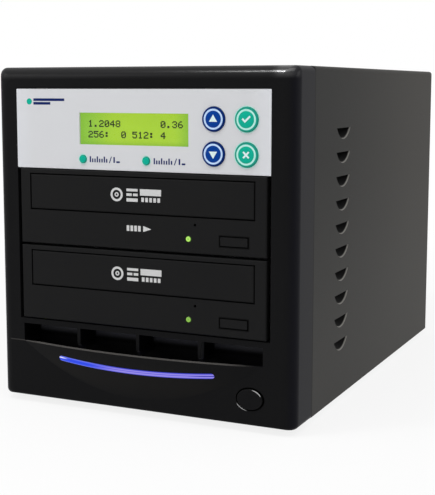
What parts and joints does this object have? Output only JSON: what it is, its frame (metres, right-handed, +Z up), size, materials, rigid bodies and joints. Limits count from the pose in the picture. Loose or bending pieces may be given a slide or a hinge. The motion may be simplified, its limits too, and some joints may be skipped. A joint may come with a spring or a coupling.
{
  "type": "disc duplicator tower",
  "caption": "Stand-alone disc duplicator tower: steel case and black bezel with a display and keys over tray-loading optical drives, air slots and a light bar.",
  "frame": {"origin": "middle of the footprint, on the surface that the feet stand on", "axes": "+Z up, the front with the trays faces -Y, +X is to the right seen from the front"},
  "size_m": [0.1792, 0.2826, 0.1894],
  "materials": {
    "black_plastic": "fine moulded texture, semi-gloss",
    "board_green": "solder mask",
    "cable_red": "pvc jacket",
    "clear_lens": "polished",
    "cover_paint": "satin dark grey paint",
    "deck_plastic": "moulded",
    "display_green": "backlit character display",
    "drive_plastic": "matte moulded",
    "fan_plastic": "moulded",
    "gear_white": "natural acetal",
    "key_blue": "satin",
    "key_teal": "satin",
    "led_green": "glowing light pipe",
    "light_blue": "glowing light pipe",
    "panel_white": "printed satin film",
    "pin_metal": "nickel plated",
    "rubber": "matte",
    "screw_black": "black oxide",
    "screw_steel": "bright zinc",
    "tray_plastic": "moulded",
    "zinc_steel": "zinc plated sheet"
  },
  "bodies": {
    "case": {"base_tray": "zinc_steel", "cage_left": "zinc_steel", "cage_right": "zinc_steel", "case_fan_frame": "fan_plastic", "case_screws": "screw_steel", "control_bracket": "zinc_steel", "control_panel": "panel_white", "controller_board": "board_green", "data_cables": "cable_red", "display_module": "board_green", "display_screen": "display_green", "display_window": "clear_lens", "fan_guard": "zinc_steel", "fan_screws": "screw_black", "front_bezel": "black_plastic", "front_frame": "zinc_steel", "inlet_pins": "pin_metal", "key_board": "board_green", "light_bar": "light_blue", "light_board": "board_green", "lower_drive_board": "board_green", "lower_drive_deck": "deck_plastic", "lower_drive_faceplate": "drive_plastic", "lower_drive_housing": "zinc_steel", "lower_drive_light_pipe": "led_green", "power_inlet": "black_plastic", "power_supply_case": "zinc_steel", "power_switch": "black_plastic", "rear_panel": "zinc_steel", "rubber_feet": "rubber", "steel_cover": "cover_paint", "supply_fan_frame": "fan_plastic", "upper_drive_board": "board_green", "upper_drive_deck": "deck_plastic", "upper_drive_faceplate": "drive_plastic", "upper_drive_housing": "zinc_steel", "upper_drive_light_pipe": "led_green"},
    "lower_tray": {"lower_drive_tray": "tray_plastic", "lower_drive_tray_front": "drive_plastic"},
    "lower_gear": {"lower_drive_loading_gear": "gear_white"},
    "lower_turntable": {"lower_drive_turntable": "gear_white"},
    "lower_pickup": {"lower_drive_pickup": "deck_plastic"},
    "lower_eject": {"lower_drive_eject_button": "drive_plastic"},
    "upper_tray": {"upper_drive_tray": "tray_plastic", "upper_drive_tray_front": "drive_plastic"},
    "upper_gear": {"upper_drive_loading_gear": "gear_white"},
    "upper_turntable": {"upper_drive_turntable": "gear_white"},
    "upper_pickup": {"upper_drive_pickup": "deck_plastic"},
    "upper_eject": {"upper_drive_eject_button": "drive_plastic"},
    "key_up": {"key_up": "key_blue"},
    "key_down": {"key_down": "key_blue"},
    "key_enter": {"key_enter": "key_teal"},
    "key_escape": {"key_escape": "key_teal"},
    "key_speed": {"key_speed": "key_teal"},
    "key_source": {"key_source": "key_teal"},
    "power_button": {"power_button": "black_plastic"},
    "rocker": {"rocker_switch": "black_plastic"},
    "case_fan_rotor": {"case_fan_rotor": "fan_plastic"},
    "supply_fan_rotor": {"supply_fan_rotor": "fan_plastic"}
  },
  "joints": [
    {"name": "lower_tray_slide", "type": "slide", "parent": "case", "child": "lower_tray", "axis": [0, -1, 0], "range_m": [0, 0.134]},
    {"name": "lower_gear_spin", "type": "hinge", "parent": "case", "child": "lower_gear", "pos_m": [-0.046, -0.1159, 0.07115], "axis": [0, 0, 1], "range_deg": [0, 768.26]},
    {"name": "lower_turntable_spin", "type": "hinge", "parent": "case", "child": "lower_turntable", "pos_m": [0, -0.0619, 0.06955], "axis": [0, 0, 1], "continuous": true},
    {"name": "lower_pickup_slide", "type": "slide", "parent": "case", "child": "lower_pickup", "axis": [0, 1, 0], "range_m": [0, 0.028]},
    {"name": "lower_eject_press", "type": "slide", "parent": "case", "child": "lower_eject", "axis": [0, 1, 0], "range_m": [0, 0.001], "stiffness_N_per_m": 400, "springref_m": -0.002},
    {"name": "upper_tray_slide", "type": "slide", "parent": "case", "child": "upper_tray", "axis": [0, -1, 0], "range_m": [0, 0.134]},
    {"name": "upper_gear_spin", "type": "hinge", "parent": "case", "child": "upper_gear", "pos_m": [-0.046, -0.1159, 0.11395], "axis": [0, 0, 1], "range_deg": [0, 768.26]},
    {"name": "upper_turntable_spin", "type": "hinge", "parent": "case", "child": "upper_turntable", "pos_m": [0, -0.0619, 0.11235], "axis": [0, 0, 1], "continuous": true},
    {"name": "upper_pickup_slide", "type": "slide", "parent": "case", "child": "upper_pickup", "axis": [0, 1, 0], "range_m": [0, 0.028]},
    {"name": "upper_eject_press", "type": "slide", "parent": "case", "child": "upper_eject", "axis": [0, 1, 0], "range_m": [0, 0.001], "stiffness_N_per_m": 400, "springref_m": -0.002},
    {"name": "key_up_press", "type": "slide", "parent": "case", "child": "key_up", "axis": [0, 1, 0], "range_m": [0, 0.0005], "stiffness_N_per_m": 600, "springref_m": -0.0015},
    {"name": "key_down_press", "type": "slide", "parent": "case", "child": "key_down", "axis": [0, 1, 0], "range_m": [0, 0.0005], "stiffness_N_per_m": 600, "springref_m": -0.0015},
    {"name": "key_enter_press", "type": "slide", "parent": "case", "child": "key_enter", "axis": [0, 1, 0], "range_m": [0, 0.0005], "stiffness_N_per_m": 600, "springref_m": -0.0015},
    {"name": "key_escape_press", "type": "slide", "parent": "case", "child": "key_escape", "axis": [0, 1, 0], "range_m": [0, 0.0005], "stiffness_N_per_m": 600, "springref_m": -0.0015},
    {"name": "key_speed_press", "type": "slide", "parent": "case", "child": "key_speed", "axis": [0, 1, 0], "range_m": [0, 0.0005], "stiffness_N_per_m": 600, "springref_m": -0.0015},
    {"name": "key_source_press", "type": "slide", "parent": "case", "child": "key_source", "axis": [0, 1, 0], "range_m": [0, 0.0005], "stiffness_N_per_m": 600, "springref_m": -0.0015},
    {"name": "power_button_press", "type": "slide", "parent": "case", "child": "power_button", "axis": [0, 1, 0], "range_m": [0, 0.0022], "stiffness_N_per_m": 500, "springref_m": -0.004},
    {"name": "rocker_tip", "type": "hinge", "parent": "case", "child": "rocker", "pos_m": [-0.01, 0.1357, 0.035], "axis": [1, 0, 0], "range_deg": [0, 8]},
    {"name": "case_fan_spin", "type": "hinge", "parent": "case", "child": "case_fan_rotor", "pos_m": [0, 0.1251, 0.121], "axis": [0, 1, 0], "continuous": true},
    {"name": "supply_fan_spin", "type": "hinge", "parent": "case", "child": "supply_fan_rotor", "pos_m": [-0.051, 0.1291, 0.02425], "axis": [0, 1, 0], "continuous": true}
  ],
  "couplings": [
    {"joint": "lower_gear_spin", "follows": "lower_tray_slide", "rad_per_m": 100},
    {"joint": "upper_gear_spin", "follows": "upper_tray_slide", "rad_per_m": 100}
  ]
}
